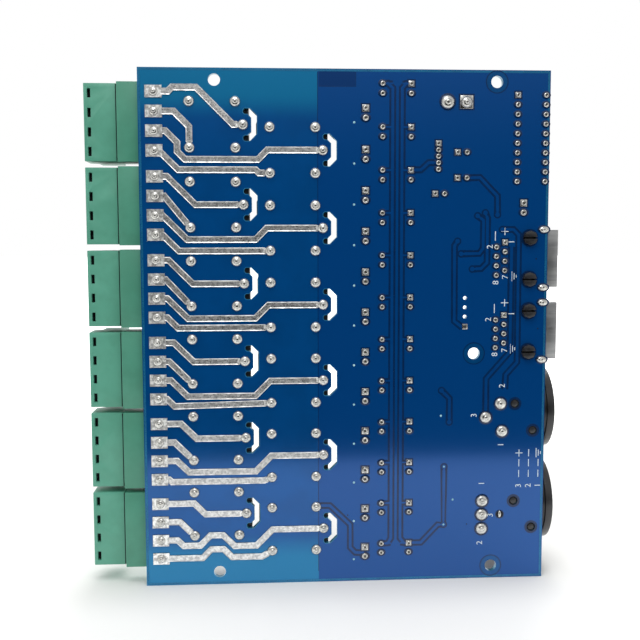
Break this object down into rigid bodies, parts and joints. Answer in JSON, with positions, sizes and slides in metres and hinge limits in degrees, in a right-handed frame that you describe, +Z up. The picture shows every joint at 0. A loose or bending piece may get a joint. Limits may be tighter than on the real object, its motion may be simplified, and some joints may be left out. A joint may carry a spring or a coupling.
{
  "type": "relay module board",
  "caption": "Upright relay circuit board seen from its solder side, with pluggable screw terminals on one edge and data sockets and round connectors on the other.",
  "frame": {"origin": "centre of the four mounting holes, on the solder face of the board", "axes": "-Y looks out of the solder face, +Y towards the components, +Z up the board's long edge, +X towards the edge with the data sockets"},
  "size_m": [0.1286, 0.0319, 0.1388],
  "materials": {
    "board_laminate": "blue solder mask over glass and epoxy laminate, satin",
    "tinned_copper": "hot tinned copper, mottled",
    "solder": "solder, bright and domed",
    "relay_case": "moulded polyester, fine matt",
    "header_plastic": "moulded polyamide, satin",
    "plug_plastic": "moulded polyamide, satin",
    "tinned_pin": "tin plated brass",
    "zinc_plated_steel": "zinc plated steel",
    "switch_plastic": "moulded polyester, matt",
    "slider_plastic": "moulded white nylon, matt",
    "chip_epoxy": "moulded epoxy, matt",
    "can_aluminium": "aluminium can in a shrunk sleeve, bare top",
    "lamp_epoxy": "tinted cast epoxy, polished",
    "tinned_shell": "tin plated steel sheet",
    "black_nylon": "moulded glass filled nylon, satin",
    "gilt_contact": "gold flashed spring contact",
    "latch_metal": "moulded acetal, satin",
    "silvered_pin": "silver plated turned pin"
  },
  "bodies": {
    "board": {"capacitors": "can_aluminium", "circuit_board": "board_laminate", "connector_pins": "silvered_pin", "data_socket_contacts": "gilt_contact", "data_socket_inserts": "black_nylon", "data_socket_shells": "tinned_shell", "female_connector": "black_nylon", "header_1": "header_plastic", "header_2": "header_plastic", "header_3": "header_plastic", "header_4": "header_plastic", "header_5": "header_plastic", "header_6": "header_plastic", "header_pins": "tinned_pin", "lamps": "lamp_epoxy", "male_connector": "black_nylon", "optocouplers": "chip_epoxy", "pin_joints": "solder", "power_clamps": "zinc_plated_steel", "power_terminal": "plug_plastic", "relay_01": "relay_case", "relay_02": "relay_case", "relay_03": "relay_case", "relay_04": "relay_case", "relay_05": "relay_case", "relay_06": "relay_case", "relay_07": "relay_case", "relay_08": "relay_case", "relay_09": "relay_case", "relay_10": "relay_case", "relay_11": "relay_case", "relay_12": "relay_case", "relay_joints": "solder", "solder_tracks": "tinned_copper", "surface_parts": "chip_epoxy", "switch_body": "switch_plastic", "voltage_regulator": "chip_epoxy"},
    "plug_body_1": {"plug_1": "plug_plastic", "plug_clamps_1": "zinc_plated_steel"},
    "plug_body_2": {"plug_2": "plug_plastic", "plug_clamps_2": "zinc_plated_steel"},
    "plug_body_3": {"plug_3": "plug_plastic", "plug_clamps_3": "zinc_plated_steel"},
    "plug_body_4": {"plug_4": "plug_plastic", "plug_clamps_4": "zinc_plated_steel"},
    "plug_body_5": {"plug_5": "plug_plastic", "plug_clamps_5": "zinc_plated_steel"},
    "plug_body_6": {"plug_6": "plug_plastic", "plug_clamps_6": "zinc_plated_steel"},
    "slider_body_01": {"switch_slider_01": "slider_plastic"},
    "slider_body_02": {"switch_slider_02": "slider_plastic"},
    "slider_body_03": {"switch_slider_03": "slider_plastic"},
    "slider_body_04": {"switch_slider_04": "slider_plastic"},
    "slider_body_05": {"switch_slider_05": "slider_plastic"},
    "slider_body_06": {"switch_slider_06": "slider_plastic"},
    "slider_body_07": {"switch_slider_07": "slider_plastic"},
    "slider_body_08": {"switch_slider_08": "slider_plastic"},
    "slider_body_09": {"switch_slider_09": "slider_plastic"},
    "slider_body_10": {"switch_slider_10": "slider_plastic"},
    "latch_body": {"connector_latch": "latch_metal"}
  },
  "joints": [
    {"name": "plug_1_pull", "type": "slide", "parent": "board", "child": "plug_body_1", "axis": [-1, 0, 0], "range_m": [0, 0.012]},
    {"name": "plug_2_pull", "type": "slide", "parent": "board", "child": "plug_body_2", "axis": [-1, 0, 0], "range_m": [0, 0.012]},
    {"name": "plug_3_pull", "type": "slide", "parent": "board", "child": "plug_body_3", "axis": [-1, 0, 0], "range_m": [0, 0.012]},
    {"name": "plug_4_pull", "type": "slide", "parent": "board", "child": "plug_body_4", "axis": [-1, 0, 0], "range_m": [0, 0.012]},
    {"name": "plug_5_pull", "type": "slide", "parent": "board", "child": "plug_body_5", "axis": [-1, 0, 0], "range_m": [0, 0.012]},
    {"name": "plug_6_pull", "type": "slide", "parent": "board", "child": "plug_body_6", "axis": [-1, 0, 0], "range_m": [0, 0.012]},
    {"name": "switch_01_slide", "type": "slide", "parent": "board", "child": "slider_body_01", "axis": [1, 0, 0], "range_m": [0, 0.0017]},
    {"name": "switch_02_slide", "type": "slide", "parent": "board", "child": "slider_body_02", "axis": [1, 0, 0], "range_m": [0, 0.0017]},
    {"name": "switch_03_slide", "type": "slide", "parent": "board", "child": "slider_body_03", "axis": [1, 0, 0], "range_m": [0, 0.0017]},
    {"name": "switch_04_slide", "type": "slide", "parent": "board", "child": "slider_body_04", "axis": [1, 0, 0], "range_m": [0, 0.0017]},
    {"name": "switch_05_slide", "type": "slide", "parent": "board", "child": "slider_body_05", "axis": [1, 0, 0], "range_m": [0, 0.0017]},
    {"name": "switch_06_slide", "type": "slide", "parent": "board", "child": "slider_body_06", "axis": [1, 0, 0], "range_m": [0, 0.0017]},
    {"name": "switch_07_slide", "type": "slide", "parent": "board", "child": "slider_body_07", "axis": [1, 0, 0], "range_m": [0, 0.0017]},
    {"name": "switch_08_slide", "type": "slide", "parent": "board", "child": "slider_body_08", "axis": [1, 0, 0], "range_m": [0, 0.0017]},
    {"name": "switch_09_slide", "type": "slide", "parent": "board", "child": "slider_body_09", "axis": [1, 0, 0], "range_m": [0, 0.0017]},
    {"name": "switch_10_slide", "type": "slide", "parent": "board", "child": "slider_body_10", "axis": [1, 0, 0], "range_m": [0, 0.0017]},
    {"name": "latch_press", "type": "slide", "parent": "board", "child": "latch_body", "axis": [0, -1, 0], "range_m": [0, 0.001], "stiffness_N_per_m": 400}
  ]
}
